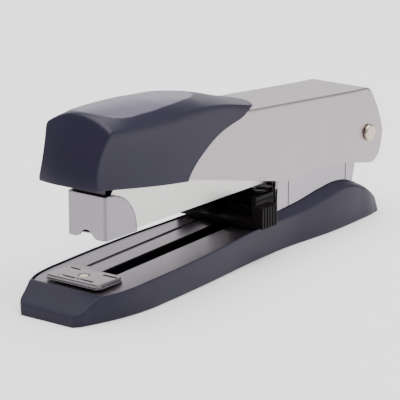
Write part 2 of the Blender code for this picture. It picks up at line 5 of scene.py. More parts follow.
import bmesh
import bpy
import numpy as np
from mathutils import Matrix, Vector


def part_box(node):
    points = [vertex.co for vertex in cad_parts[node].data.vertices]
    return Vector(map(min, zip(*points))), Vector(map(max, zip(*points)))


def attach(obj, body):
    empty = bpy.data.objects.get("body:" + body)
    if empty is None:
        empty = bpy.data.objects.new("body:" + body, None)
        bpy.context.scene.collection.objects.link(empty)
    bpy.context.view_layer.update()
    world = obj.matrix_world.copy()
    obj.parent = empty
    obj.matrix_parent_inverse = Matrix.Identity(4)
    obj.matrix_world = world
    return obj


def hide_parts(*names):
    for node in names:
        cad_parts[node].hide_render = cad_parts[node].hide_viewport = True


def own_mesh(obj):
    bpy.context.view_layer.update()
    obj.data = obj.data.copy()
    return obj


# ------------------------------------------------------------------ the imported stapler
# The solids come in at their places. Lengths below are millimetres in the maker's frame: X across,
# Y back from the front of the nose plate, Z up from the table.
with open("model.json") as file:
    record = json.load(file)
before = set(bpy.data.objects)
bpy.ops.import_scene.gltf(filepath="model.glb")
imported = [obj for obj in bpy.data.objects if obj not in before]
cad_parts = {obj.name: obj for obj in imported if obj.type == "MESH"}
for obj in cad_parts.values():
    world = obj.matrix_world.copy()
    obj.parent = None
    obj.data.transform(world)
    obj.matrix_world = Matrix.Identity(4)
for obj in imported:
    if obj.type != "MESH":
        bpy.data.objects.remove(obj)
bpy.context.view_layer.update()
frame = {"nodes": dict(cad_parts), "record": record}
MM = 0.001
NOSE_FRONT = Vector((0.0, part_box("nose_plate")[0].y, 0.0))
owner = {node: body for body, nodes in frame["record"]["behaviour"]["bodies"].items() for node in nodes}

# ------------------------------------------------------------------ table, camera and light
# A plain pale table under soft boxes: a broad one overhead, which whitens the table, two weak ones
# low down behind, which the steel reflects, and a small one in front, which picks out the edges.
AZIMUTH, ELEVATION, DISTANCE = math.radians(37.3), math.radians(15.56), 0.75127
TARGET = NOSE_FRONT + Vector((0.01559, 0.03882, 0.02907))
FOCAL, SENSOR = 208.2, 36.0
TABLE_HALF = 4.0

lens = bpy.data.cameras.new("camera")
lens.lens = FOCAL
lens.sensor_width = SENSOR
camera = bpy.data.objects.new("camera", lens)
bpy.context.scene.collection.objects.link(camera)
bpy.context.scene.camera = camera
towards_camera = Vector((math.sin(AZIMUTH) * math.cos(ELEVATION),
                         -math.cos(AZIMUTH) * math.cos(ELEVATION), math.sin(ELEVATION)))
camera.location = TARGET + DISTANCE * towards_camera
camera.rotation_euler = (-towards_camera).to_track_quat("-Z", "Y").to_euler()

table_mesh = bpy.data.meshes.new("table")
table_corners = [(x * TABLE_HALF, y * TABLE_HALF, 0) for x, y in ((-1, -1), (1, -1), (1, 1), (-1, 1))]
table_mesh.from_pydata(table_corners, [], [(0, 1, 2, 3)])
table = bpy.data.objects.new("table", table_mesh)
bpy.context.scene.collection.objects.link(table)
table_paint = bpy.data.materials.new("table_paint")
table_paint.use_nodes = True
table_shader = table_paint.node_tree.nodes["Principled BSDF"]
table_shader.inputs["Base Color"].default_value = (0.96, 0.96, 0.97, 1)
table_shader.inputs["Roughness"].default_value = 0.9
table_mesh.materials.append(table_paint)

sky = bpy.data.worlds.new("studio")
sky.use_nodes = True
sky_light = sky.node_tree.nodes["Background"]
sky_light.inputs["Color"].default_value = (1.0, 1.0, 1.0, 1.0)
sky_light.inputs["Strength"].default_value = 0.35
bpy.context.scene.world = sky


def soft_box(name, place, width, height, power):
    """Area lamp that faces the stapler."""
    lamp = bpy.data.lights.new(name, "AREA")
    lamp.shape = "RECTANGLE"
    lamp.size, lamp.size_y, lamp.energy = width, height, power
    holder = bpy.data.objects.new(name, lamp)
    holder.location = TARGET + Vector(place)
    holder.rotation_euler = Vector(place).to_track_quat("Z", "Y").to_euler()
    bpy.context.scene.collection.objects.link(holder)


soft_box("overhead", (0.05, 0.1, 1.3), 1.8, 1.6, 50)
soft_box("behind_right", (0.85, 0.85, 0.42), 0.9, 0.8, 2.6)
soft_box("front", (0.75, -1.25, 0.75), 0.5, 0.4, 2.4)
soft_box("behind", (-0.85, 1.15, 0.50), 1.3, 0.8, 4.5)


# ------------------------------------------------------------------ base shell
# Injection-moulded tub in dark blue-grey plastic: chamfered nose end, waist behind the paper guide,
# and a hump that rises round the bracket. The steel plate drops into the recess inside its rim.
class Tone:
    """Output of a shader node. Arithmetic on it adds Math nodes."""

    def __init__(self, finish, socket):
        self.finish = finish
        self.socket = socket

    def maths(self, operation, first, second):
        return self.finish.node("ShaderNodeMath", {"operation": operation}, {0: first, 1: second})

    def __add__(self, other):
        return self.maths("ADD", self, other)

    def __mul__(self, other):
        return self.maths("MULTIPLY", self, other)

    def __sub__(self, other):
        return self.maths("SUBTRACT", self, other)

    def __rsub__(self, other):
        return self.maths("SUBTRACT", other, self)

    __radd__ = __add__
    __rmul__ = __mul__


class Finish:
    """One material, made node by node."""

    def __init__(self, name):
        self.material = bpy.data.materials.new(name)
        self.material.use_nodes = True
        self.tree = self.material.node_tree
        self.shader = self.tree.nodes["Principled BSDF"]

    def feed(self, socket, value):
        if isinstance(value, Tone):
            self.tree.links.new(value.socket, socket)
        else:
            socket.default_value = value

    def node(self, kind, settings, inputs, output=0):
        """Adds a node: its settings first, a ramp's stops among them, then its inputs."""
        made = self.tree.nodes.new(kind)
        for key, value in settings.items():
            if key == "stops":
                for element, (position, grey) in zip(made.color_ramp.elements, value):
                    element.position = position
                    element.color = (grey, grey, grey, 1.0)
            else:
                setattr(made, key, value)
        for key, value in inputs.items():
            self.feed(made.inputs[key], value)
        return Tone(self, made.outputs[output])

    def noise(self, scale, stretch=(1, 1, 1), detail=3.0):
        """Noise over the piece, its features about 1/scale metres, longer where stretch is small."""
        where = self.node("ShaderNodeTexCoord", {}, {}, "Object")
        where = self.node("ShaderNodeMapping", {}, {"Vector": where, "Scale": stretch})
        return self.node("ShaderNodeTexNoise", {}, {"Vector": where, "Scale": scale, "Detail": detail})

    def ramp(self, value, low, high, dark=0.0, bright=1.0):
        return self.node("ShaderNodeValToRGB", {"stops": ((low, dark), (high, bright))}, {0: value})

    def blend(self, factor, first, second):
        """Colour between two colours."""
        return self.node("ShaderNodeMix", {"data_type": "RGBA"},
                         {0: factor, 6: (*first, 1.0) if isinstance(first, tuple) else first,
                          7: (*second, 1.0) if isinstance(second, tuple) else second}, 2)

    def bump(self, height, depth):
        """Surface relief of so many millimetres."""
        return self.node("ShaderNodeBump", {}, {"Height": height, "Distance": depth * MM, "Strength": 1.0})

    def surface(self, **sockets):
        """Sets the shader's sockets, spaces written as underscores."""
        for key, value in sockets.items():
            self.feed(self.shader.inputs[key.replace("_", " ")], value)
        return self.material


GRIT, CLOUD, SCUFF = 2600.0, 60.0, 420.0


def moulded(name, colour, sheen_colour, roughness, grain, gloss=0.17):
    """Moulded plastic: spark-eroded grain, faint flow clouding, and scuffs that polish the grain."""
    finish = Finish(name)
    grit = finish.noise(GRIT, detail=2.0)
    cloud = finish.noise(CLOUD, detail=4.0)
    scuff = finish.ramp(finish.noise(SCUFF, (1.0, 0.25, 1.0), 5.0), 0.62, 0.72)
    tint = finish.blend(cloud, colour, sheen_colour)
    return finish.surface(Base_Color=tint, Roughness=roughness + 0.07 * (cloud - 0.5) - 0.05 * scuff,
                          Specular_IOR_Level=gloss, Normal=finish.bump(grit, grain))


def rise(y, knots):
    """Smooth curve through (y, value) knots: a cubic between each pair, its end slopes taken from
    the neighbours, level beyond both ends."""
    ys, values = np.array(knots, float).T
    slopes = np.gradient(values, ys)
    y = np.clip(y, ys[0], ys[-1])
    i = np.clip(np.searchsorted(ys, y, side="right") - 1, 0, len(ys) - 2)
    h = ys[i + 1] - ys[i]
    t = (y - ys[i]) / h
    return ((2 * t**3 - 3 * t**2 + 1) * values[i] + (t**3 - 2 * t**2 + t) * h * slopes[i]
            + (3 * t**2 - 2 * t**3) * values[i + 1] + (t**3 - t**2) * h * slopes[i + 1])


def rounded_path(corners, reaches, steps=5):
    """Sections through corner points (arrays of n x 3), each inner corner turned by a parabola that
    starts and ends its reach away from it."""
    columns = [corners[0]]
    for before, corner, after, reach in zip(corners, corners[1:], corners[2:], reaches):
        start, end = before - corner, after - corner
        long_in = np.linalg.norm(start, axis=1, keepdims=True) + 1e-9
        long_out = np.linalg.norm(end, axis=1, keepdims=True) + 1e-9
        start = start / long_in * np.minimum(reach, 0.45 * long_in)
        end = end / long_out * np.minimum(reach, 0.45 * long_out)
        for t in np.linspace(0, 1, steps):
            columns.append(corner + (1 - t)**2 * start + t**2 * end)
    columns.append(corners[-1])
    return np.stack(columns, axis=1)


def solid_object(name, mesh, smooth_below=38):
    """Merges doubles, points faces out, smooths gentle angles and links the object."""
    work = bmesh.new()
    work.from_mesh(mesh)
    bmesh.ops.remove_doubles(work, verts=work.verts, dist=2e-6)
    bmesh.ops.dissolve_degenerate(work, edges=work.edges, dist=1e-7)
    bmesh.ops.recalc_face_normals(work, faces=work.faces)
    work.to_mesh(mesh)
    work.free()
    mesh.shade_smooth()
    mesh.set_sharp_from_angle(angle=math.radians(smooth_below))
    made = bpy.data.objects.new(name, mesh)
    bpy.context.scene.collection.objects.link(made)
    return made


def surface(name, points, ring=False, smooth_below=38):
    """Mesh over a grid of millimetre points, row after row; ring joins the last column to the first."""
    rows, columns = points.shape[:2]
    index = np.arange(rows * columns).reshape(rows, columns)
    if ring:
        index = np.hstack([index, index[:, :1]])
    faces = np.stack([index[:-1, :-1], index[:-1, 1:], index[1:, 1:], index[1:, :-1]], axis=-1)
    mesh = bpy.data.meshes.new(name)
    mesh.from_pydata((points.reshape(-1, 3) * MM + np.array(NOSE_FRONT)).tolist(), [],
                     faces.reshape(-1, 4).tolist())
    return solid_object(name, mesh, smooth_below)


def mirror_across(points):
    """Adds the mirror image of sections that end on the middle plane X = 0."""
    return np.concatenate([points, points[:, -2::-1] * np.array([-1, 1, 1])], axis=1)


def stands_for(made, paint, *nodes):
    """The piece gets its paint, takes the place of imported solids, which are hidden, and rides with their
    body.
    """
    made.data.materials.append(paint)
    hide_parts(*nodes)
    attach(made, owner[nodes[0]])
    return made


def walled(made, thickness, edge=0.0):
    """Gives a surface a wall on its inner side, and breaks the wall's edges."""
    wall = made.modifiers.new("wall", "SOLIDIFY")
    wall.thickness = thickness * MM
    wall.offset = -1.0
    if edge:
        ease = made.modifiers.new("edge", "BEVEL")
        ease.width = edge * MM
        ease.segments = 2
        ease.limit_method = "ANGLE"
        ease.angle_limit = math.radians(50)
    return made


SLATE, SLATE_CLOUD = (0.0165, 0.0137, 0.0285), (0.020, 0.0172, 0.035)
SLATE_ROUGH, SLATE_GRAIN, SLATE_GLOSS = 0.38, 0.012, 0.17
slate = moulded("slate_plastic", SLATE, SLATE_CLOUD, SLATE_ROUGH, SLATE_GRAIN, SLATE_GLOSS)

DECK_Z, DECK_SLOPE, RIM_WIDTH, RECESS = 9.1, 0.036, 0.75, 1.7
FOOT = ((-19.8, 10.3), (-19.3, 11.1), (-18.4, 11.9), (-14.6, 13.6), (-7.7, 15.8), (0, 17.6), (9, 18.5),
        (20, 18.1), (47, 16.3), (62, 14.9), (75, 14.0), (93, 13.6), (104, 14.4), (118, 15.1), (135, 14.5),
        (146, 13.6), (150.5, 12.4), (153.3, 9.8))
RIM = ((-19.4, 11.0), (-19.0, 11.7), (-18.2, 12.4), (-14.6, 13.6), (-10.9, 14.9), (-6.5, 16.8), (0, 18.0),
       (10, 18.25), (33, 18.1), (47, 17.5), (59.5, 16.5), (70, 15.7), (81, 14.9), (93, 14.2), (104, 14.2),
       (118, 14.4), (135, 13.9), (146, 12.6), (150.5, 11.2), (153.3, 8.6))
RIDGE = ((60, DECK_Z + DECK_SLOPE * 60), (70, 11.6), (81, 11.5), (93, 11.1), (104, 11.5), (116, 13.2),
         (127, 14.2), (137, 11.9), (144, 8.7), (148, 5.9), (151, 2.9), (153.3, 0.7))
CROWN = ((60, DECK_Z + DECK_SLOPE * 60), (70, 11.7), (80, 12.2), (88, 13.0), (102, 14.2), (115, 15.9),
         (124, 16.5), (131, 15.6), (137, 13.2), (144, 9.6), (148, 6.6), (151, 3.4), (153.3, 0.9))
CHAMFER = ((-19.8, -19.4, -10.9, 60.0), (3.0, 3.6, DECK_Z - DECK_SLOPE * 10.9, DECK_Z + DECK_SLOPE * 60))
RECESS_FRONT, POCKET_X, POCKET_REAR = -10.14, 11.2, 137.2
TROUGH_X, TROUGH_FRONT, TROUGH_REAR, TROUGH_Z = 6.3, 7.8, 87.0, 1.65
LIP, LIP_Z = 2.2, 1.4


def top_line(y, knots):
    """Chamfer and straight rim with their kinks softened over half a millimetre, then the hump."""
    straight = np.mean([np.interp(y + off, *CHAMFER) for off in np.linspace(-0.45, 0.45, 7)], axis=0)
    return np.where(y < 60, straight, rise(y, knots))


def shell_sections(y):
    """Half sections from the lip under the foot, up the side, over the rim and into the recess."""
    foot, rim = rise(y, FOOT), rise(y, RIM)
    ridge, crown = top_line(y, RIDGE), top_line(y, CROWN)
    in_recess = (y > RECESS_FRONT) & (y < POCKET_REAR)
    in_trough = (y > TROUGH_FRONT) & (y < TROUGH_REAR)
    blunt = np.clip((y - 83.5) / 1.5, 0, 1)
    inner = np.minimum((rim - RIM_WIDTH) * (1 - blunt) + POCKET_X * blunt, rim - RIM_WIDTH)
    floor = np.where(in_recess, DECK_Z + DECK_SLOPE * y - RECESS, crown)
    low = np.where(in_trough, TROUGH_Z, floor)
    lip = np.where((y > -19) & (y < 152.5), LIP, 0.0)

    def at(x, z):
        return np.stack([x, y, z], axis=1)
    corners = [at(foot - lip, np.where(lip > 0, LIP_Z, 0.0)), at(foot - lip, 0 * y), at(foot, 0 * y),
               at(0.5 * (foot + rim) + 0.1, 0.45 * ridge), at(rim, ridge), at(inner, crown),
               at(inner, floor), at(TROUGH_X + 0 * y, floor), at(TROUGH_X + 0 * y, low), at(0 * y, low)]
    return mirror_across(rounded_path(corners, (0.1, 0.6, 2.5, 0.75, 0.2, 0.1, 0.02, 0.1)))


stations = np.unique(np.concatenate([
    np.linspace(-19.4, -10.2, 16), np.linspace(-10.9, RECESS_FRONT - 0.01, 6), [RECESS_FRONT + 0.01],
    np.linspace(-9.5, TROUGH_FRONT - 0.1, 26), [TROUGH_FRONT + 0.01], np.linspace(9, 84, 62),
    np.linspace(83.5, 85.0, 5), [TROUGH_REAR - 0.01, TROUGH_REAR + 0.01],
    np.linspace(86, POCKET_REAR - 0.01, 50), [POCKET_REAR + 0.01], np.linspace(138, 153.3, 30)]))
body_rows = shell_sections(stations)

# Both ends are closed by a slightly smaller copy of the last section, drawn in to the middle plane.
front = body_rows[:1] * np.array([0.965, 1, 0.88]) - np.array([0, 0.45, 0])
front_middle = front * np.array([0, 1, 0])
tail = body_rows[-1:] * np.array([0.8, 1, 0.4]) + np.array([0, 0.12, 0])
tail_middle = tail * np.array([0, 1, 0])
shell = surface("base_shell_skin", np.concatenate([front_middle, front, body_rows, tail, tail_middle]))
stands_for(shell, slate, "base_shell")


# ------------------------------------------------------------------ base plate and sole
# Satin nickel-plated sheet laid in the recess, with a slot for the paper guide and a shallow
# pressed groove on its left. The sole is a sheet of pebbled non-slip rubber glued in underneath.
# The last colour is painted shade: near-black laid along gaps and folds in place of their shadow.
ROLL_LINES, PLATING, RUBS, PAINTED_SHADE_TINT = 5200.0, 45.0, 500.0, (0.012, 0.009, 0.012)


def rolled_steel(name, colour, shade, roughness, grain=(1.0, 0.03, 1.0), relief=0.003, seam=None):
    """Plated sheet steel: rolling lines along one axis, a slightly uneven satin plating, faint rubs,
    and painted shade, dark lines standing in for shadow, where the named point attribute is high."""
    finish = Finish(name)
    lines = finish.noise(ROLL_LINES, grain, 2.0)
    plating = finish.noise(PLATING, detail=5.0)
    rubs = finish.ramp(finish.noise(RUBS, (1.0, 0.25, 0.6), 3.0), 0.55, 0.80)
    tint = finish.blend(plating, colour, shade)
    if seam:
        # Painted shade: where the attribute is high the colour is darkened towards near-black, standing in
        # for the shadow along a gap or fold.
        painted_dark = finish.node("ShaderNodeAttribute", {"attribute_name": seam}, {}, "Fac")
        tint = finish.blend(painted_dark, tint, PAINTED_SHADE_TINT)
    satin = roughness + 0.10 * (lines - 0.5) + 0.08 * (plating - 0.5) + 0.05 * rubs
    return finish.surface(Base_Color=tint, Metallic=1.0, Roughness=satin, Normal=finish.bump(lines, relief))


def eased(node, width, paint, segments=2):
    """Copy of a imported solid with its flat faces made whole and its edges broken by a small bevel."""
    mesh = frame["nodes"][node].data.copy()
    mesh.materials.clear()
    work = bmesh.new()
    work.from_mesh(mesh)
    bmesh.ops.remove_doubles(work, verts=work.verts, dist=1e-6)
    bmesh.ops.dissolve_limit(work, angle_limit=math.radians(0.5), verts=work.verts, edges=work.edges)
    work.to_mesh(mesh)
    work.free()
    mesh.shade_smooth()
    mesh.set_sharp_from_angle(angle=math.radians(30))
    made = bpy.data.objects.new(f"{node}_eased", mesh)
    bpy.context.scene.collection.objects.link(made)
    ease = made.modifiers.new("edge", "BEVEL")
    ease.width = width * MM
    ease.segments = segments
    ease.limit_method = "ANGLE"
    ease.angle_limit = math.radians(32)
    ease.harden_normals = True
    return stands_for(made, paint, node)


plate_steel = rolled_steel("plate_steel", (0.150, 0.126, 0.148), (0.188, 0.160, 0.186), 0.30)
eased("base_plate", 0.14, plate_steel)


def rubber(name, colour):
    """Matt rubber with a fine pebble."""
    finish = Finish(name)
    pebble = finish.noise(1500.0, detail=1.0)
    return finish.surface(Base_Color=colour, Roughness=0.82 + 0.1 * (pebble - 0.5),
                          Normal=finish.bump(pebble, 0.05))


sole_mesh = frame["nodes"]["base_sole"].data
sole_mesh.materials.clear()
sole_mesh.materials.append(rubber("sole_rubber", (0.03, 0.03, 0.032, 1.0)))

# ------------------------------------------------------------------ anvil
# Pressed steel plate with clinching pockets, riveted to a stem so that it can be pushed up from
# below and turned half round.
anvil_steel = rolled_steel("anvil_steel", (0.150, 0.130, 0.145), (0.190, 0.168, 0.184), 0.20,
                           (0.05, 1.0, 1.0))
nickel = rolled_steel("warm_nickel", (0.50, 0.43, 0.33), (0.56, 0.48, 0.38), 0.24, (1.0, 1.0, 1.0), 0.002)
spring_steel = rolled_steel("spring_steel", (0.42, 0.42, 0.44), (0.50, 0.50, 0.52), 0.28)
black = moulded("black_plastic", (0.0045, 0.003, 0.0035), (0.008, 0.0055, 0.006), 0.36, 0.010, 0.08)

ANVIL_Y, ANVIL_TOP, ANVIL_HALF, ANVIL_DEEP, ANVIL_CORNER = -1.5, 10.6, 11.3, 6.5, 2.0
ANVIL_ROUND, POCKET_DEEP, POCKET_HALF = 240, 0.5, 0.62
FRONT_POCKETS, REAR_POCKETS = (0.35, 7.0, -3.95), (4.9, 10.4, 3.95)
RIVET_R, RIVET_SUNK = 1.85, 0.3


def rounded_rectangle(inset, around):
    """Outline points of a rectangle with round corners, drawn in by the inset, at even steps of its
    parameter: quarter circles whose centres lie on an inner rectangle, with straight runs between."""
    quarter = np.linspace(0, math.pi / 2, around // 8)
    radius = max(ANVIL_CORNER - inset, 0.0)
    mid_x = max(ANVIL_HALF - inset - radius, 0.0)
    mid_y = max(ANVIL_DEEP - inset - radius, 0.0)
    run = np.linspace(-1, 1, around // 4, endpoint=False)[1:]
    x = np.concatenate([mid_x + radius * np.cos(quarter), -run * mid_x])
    y = np.concatenate([mid_y + radius * np.sin(quarter), mid_y + radius + 0 * run])
    up = np.linspace(-1, 1, around // 8)[1:-1]
    half_x = np.concatenate([x, -(mid_x + radius * np.cos(quarter[::-1])), -(mid_x + radius) + 0 * up])
    half_y = np.concatenate([y, mid_y + radius * np.sin(quarter[::-1]), -up * mid_y])
    return np.stack([np.concatenate([half_x, -half_x]), np.concatenate([half_y, -half_y])], axis=1)


def pocket_depth(x, y, x_low, x_high, y_mid):
    """Clinching pocket: a parabola along X times a steep-sided one along Y."""
    along_x = 1 - ((2 * x - x_low - x_high) / (x_high - x_low))**2
    across_y = 1 - ((y - y_mid) / POCKET_HALF)**4
    return POCKET_DEEP * np.sqrt(np.clip(along_x, 0, 1)) * np.clip(across_y, 0, 1)


# The plate's edge as (inset, height): a flange, a step and a rounded shoulder, then the flat top.
edge_profile = [(0.9, 9.02), (0.08, 9.02), (0.0, 9.10), (0.0, 9.42), (0.07, 9.54), (0.22, 9.60),
                (0.34, 9.60), (0.36, 9.66), (0.36, 10.28), (0.40, 10.43), (0.50, 10.55), (0.66, 10.60)]
shoulder = len(edge_profile) - 1
edge_profile += [(inset, ANVIL_TOP) for inset in np.linspace(0.8, ANVIL_DEEP, 62)]
outlines = [(rounded_rectangle(inset, ANVIL_ROUND), z) for inset, z in edge_profile]
anvil_rings = np.stack([np.column_stack([outline, np.full(len(outline), z)]) for outline, z in outlines])
on_top = np.arange(len(edge_profile))[:, None] >= shoulder
ring_x, ring_y = anvil_rings[..., 0], anvil_rings[..., 1]
dents = sum(pocket_depth(side * ring_x, ring_y, *pocket)
            for pocket in (FRONT_POCKETS, REAR_POCKETS) for side in (-1, 1))
rivet_hole = RIVET_SUNK * np.clip((RIVET_R - np.hypot(ring_x, ring_y)) / 0.15, 0, 1)
anvil_rings[..., 2] -= np.where(on_top, dents + rivet_hole, 0.0)
anvil_rings[..., 1] += ANVIL_Y
under = anvil_rings[:1] * np.array([0, 0, 1]) + np.array([0, ANVIL_Y, 0])
anvil_skin = surface("anvil_plate_pressed", np.concatenate([under, anvil_rings]), ring=True, smooth_below=35)
stands_for(anvil_skin, anvil_steel, "anvil_plate")
eased("anvil_rivet", 0.15, nickel)
eased("anvil_button", 0.25, black)
eased("anvil_spring", 0.1, spring_steel)

# ------------------------------------------------------------------ bracket, rivets and lift spring
# Bright plated bracket folded to a U, with a raised middle panel between two pressed lines. The
# lift spring stands in a black seat inside its front.
bright = rolled_steel("bright_steel", (0.30, 0.275, 0.31), (0.37, 0.34, 0.37), 0.25, (1.0, 1.0, 0.03))
eased("hinge_bracket", 0.12, bright)
for node in ("bracket_rivet_front", "bracket_rivet_rear"):
    eased(node, 0.3, nickel, 3)
eased("lift_spring_seat", 0.2, black)

TURN_STEPS, WIRE_SIDES = 28, 12


def coil(name, middle, axis, radius, wire, length, turns):
    """Round wire on a helix: the wire's circle of points carried round the axis, its first and last
    turns closed up and its ends drawn to a point."""
    t = np.linspace(0, 1, turns * TURN_STEPS + 1)
    ease = 3 * t**2 - 2 * t**3
    height = wire / 2 + (length - wire) * (0.35 * ease + 0.65 * t)
    angle = 2 * math.pi * turns * t
    out = np.stack([np.cos(angle), np.sin(angle), 0 * t], axis=1)
    up = np.array([0.0, 0.0, 1.0])
    around = np.linspace(0, 2 * math.pi, WIRE_SIDES, endpoint=False)
    thick = np.where((t == 0) | (t == 1), 0.0, wire / 2)
    points = ((radius * out + height[:, None] * up)[:, None, :]
              + thick[:, None, None] * (np.cos(around)[None, :, None] * out[:, None, :]
                                        + np.sin(around)[None, :, None] * up))
    if axis == "Y":
        points = points[:, :, [0, 2, 1]]
    return surface(name, points + np.array(middle), ring=True)


def spring_of(node, name, axis, radius, wire, turns):
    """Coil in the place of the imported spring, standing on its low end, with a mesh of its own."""
    low, high = [(corner - NOSE_FRONT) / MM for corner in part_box(node)]
    middle = 0.5 * (low + high)
    if axis == "Z":
        made = coil(name, (middle.x, middle.y, low.z), axis, radius, wire, high.z - low.z, turns)
    else:
        made = coil(name, (middle.x, low.y, middle.z), axis, radius, wire, high.y - low.y, turns)
    stands_for(made, spring_steel, node)
    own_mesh(made)
    return made


spring_of("lift_spring", "lift_spring_coil", "Z", 3.5, 0.9, 4)

# ------------------------------------------------------------------ hinge pin and spacers
# Warm nickel pin headed over outside the cover on both sides. Cover, loading frame and magazine all
# turn on it, held apart by steel spacers and a sleeve.
def turned(name, sides, x_profile, r_profile, y, z):
    """Profile of (x, r) turned round an axis along X."""
    around = np.linspace(0, 2 * math.pi, sides, endpoint=False)
    x = np.repeat(np.array(x_profile, float)[:, None], sides, axis=1)
    r = np.array(r_profile, float)[:, None]
    return surface(name, np.stack([x, y + r * np.cos(around), z + r * np.sin(around)], axis=2), ring=True,
                   smooth_below=50)


PIN_Y, PIN_Z, PIN_R, HEAD_R, PIN_SIDES = 143.0, 30.8, 2.0, 3.0, 64
COVER_HALF = 12.33
head_x = COVER_HALF + np.array([0.25, 0.30, 0.95, 1.20, 1.33, 1.38, 1.40])
head_r = HEAD_R * np.array([0.97, 1.0, 1.0, 0.96, 0.88, 0.74, 0.0])
pin_x = np.concatenate([[-12.35, -12.35, COVER_HALF + 0.25], head_x])
pin_r = np.concatenate([[0.0, PIN_R, PIN_R], head_r])
stands_for(turned("pivot_pin_turned", PIN_SIDES, pin_x, pin_r, PIN_Y, PIN_Z), nickel, "pivot_pin")
far_x = -np.concatenate([[COVER_HALF + 0.35], head_x[1:]])
far_r = np.concatenate([[0.0], head_r[1:]])
stands_for(turned("pivot_pin_cap_turned", PIN_SIDES, far_x, far_r, PIN_Y, PIN_Z), nickel, "pivot_pin_cap")
for node in ("pivot_spacer_left", "pivot_spacer_right", "pivot_sleeve"):
    eased(node, 0.15, plate_steel)

# ------------------------------------------------------------------ paper guide
# Black moulded stop that slides along the slot, with ribbed finger grips past the plate's edges;
# a spring-steel clip and a screw hold it from below.
eased("paper_guide", 0.18, black)
eased("guide_spacer", 0.2, black)
eased("guide_clip", 0.12, spring_steel)
eased("guide_screw", 0.2, spring_steel)

# ------------------------------------------------------------------ magazine
# Pale zinc-plated channel that holds the staples, the rail they ride on and the sprung pusher behind
# them. It is open at the nose, where a plate of brighter steel is folded round it.
pale = rolled_steel("pale_steel", (0.62, 0.605, 0.58), (0.68, 0.665, 0.64), 0.36)
eased("magazine_channel", 0.1, pale)
eased("magazine_rail", 0.15, plate_steel)
eased("magazine_end_block", 0.25, black)
eased("pusher_rod", 0.1, spring_steel)
eased("pusher", 0.2, spring_steel)
spring_of("pusher_spring", "pusher_spring_coil", "Y", 1.75, 0.5, 22)

NOSE_HALF, NOSE_LOW, NOSE_HIGH, NOSE_SHEET, NOSE_CORNER = 7.87, 22.6, 37.0, 0.8, 1.1
QUARTER_Y, QUARTER_Z, QUARTER_R, NOSE_ROWS = 2.2, 23.5, 13.5, 24


def notch(x):
    """Height of the nose's lower edge: a bell-shaped gap in the middle that runs out into the edge."""
    gap = rise(np.abs(x), ((0, 2.75), (0.8, 2.65), (1.6, 2.2), (2.2, 1.55), (2.8, 0.85), (3.4, 0.35),
                           (4.0, 0.08), (4.5, 0.0), (9, 0.0)))
    return NOSE_LOW + np.maximum(gap, 0.0)


def mark(made, name, share):
    """Writes a point attribute, worked out by share from the points' X, Y and Z in millimetres."""
    co = np.empty(3 * len(made.data.vertices), dtype=np.float32)
    made.data.vertices.foreach_get("co", co)
    x, y, z = ((co.reshape(-1, 3) - np.array(NOSE_FRONT)) / MM).T
    attribute = made.data.attributes.new(name, "FLOAT", "POINT")
    attribute.data.foreach_set("value", share(x, y, z).astype(np.float32))


def nose_painted_shade(x, y, z):
    """Painted shade: 1 on the cut edge of the quarter-round sides, for the thin shadow at the gap to the
    magazine, and up to 0.35 on the folds down the front, for their shade.
    """
    from_edge = QUARTER_R - np.hypot(y - QUARTER_Y, z - QUARTER_Z)
    on_edge = (from_edge < 0.25) & (y > QUARTER_Y + 0.1)
    on_fold = np.clip(1 - np.hypot(y - 0.3, np.abs(x) - NOSE_HALF + 0.3) / 0.9, 0, 1)
    return np.maximum(1.0 * on_edge, 0.35 * on_fold)


# The plan runs from the rear end of one side round the front to the other; each point of it stands
# up from the lower edge to the top, which drops in a quarter circle along the sides.
side_y = QUARTER_R * np.sin(np.linspace(math.pi / 2, 0, 40)) + QUARTER_Y
right = np.stack([0 * side_y + NOSE_HALF, side_y], axis=1)
turn = np.linspace(0, math.pi / 2, 9)[1:]
corner = np.stack([NOSE_HALF - NOSE_CORNER + NOSE_CORNER * np.cos(turn),
                   NOSE_CORNER - NOSE_CORNER * np.sin(turn)], axis=1)
across = np.stack([np.linspace(NOSE_HALF - NOSE_CORNER, 0, 60)[1:], np.zeros(59)], axis=1)
half_plan = np.concatenate([right, [[NOSE_HALF, NOSE_CORNER]], corner, across])
plan = np.concatenate([half_plan, half_plan[-2::-1] * np.array([-1, 1])])
reach = np.clip(plan[:, 1] - QUARTER_Y, 0, QUARTER_R)
top_edge = np.minimum(NOSE_HIGH, QUARTER_Z + np.sqrt(QUARTER_R**2 - reach**2))
low_edge = np.where(plan[:, 1] < 0.6, notch(plan[:, 0]), NOSE_LOW)
up = np.linspace(0, 1, NOSE_ROWS)[:, None]
nose_points = np.stack([np.tile(plan[:, 0], (NOSE_ROWS, 1)), np.tile(plan[:, 1], (NOSE_ROWS, 1)),
                        low_edge + (top_edge - low_edge) * up], axis=2)
nose = walled(surface("nose_plate_formed", nose_points), NOSE_SHEET, 0.28)
# The nose's steel carries painted shade: a dark line along the cut edge of its sides for the shadow at the
# gap to the magazine, and softer dark on the front folds.
nose_steel = rolled_steel("nose_steel", (0.225, 0.205, 0.235), (0.31, 0.285, 0.315), 0.27,
                          (1.0, 1.0, 0.05), seam="seam")
mark(nose, "seam", nose_painted_shade)
stands_for(nose, nose_steel, "nose_plate")

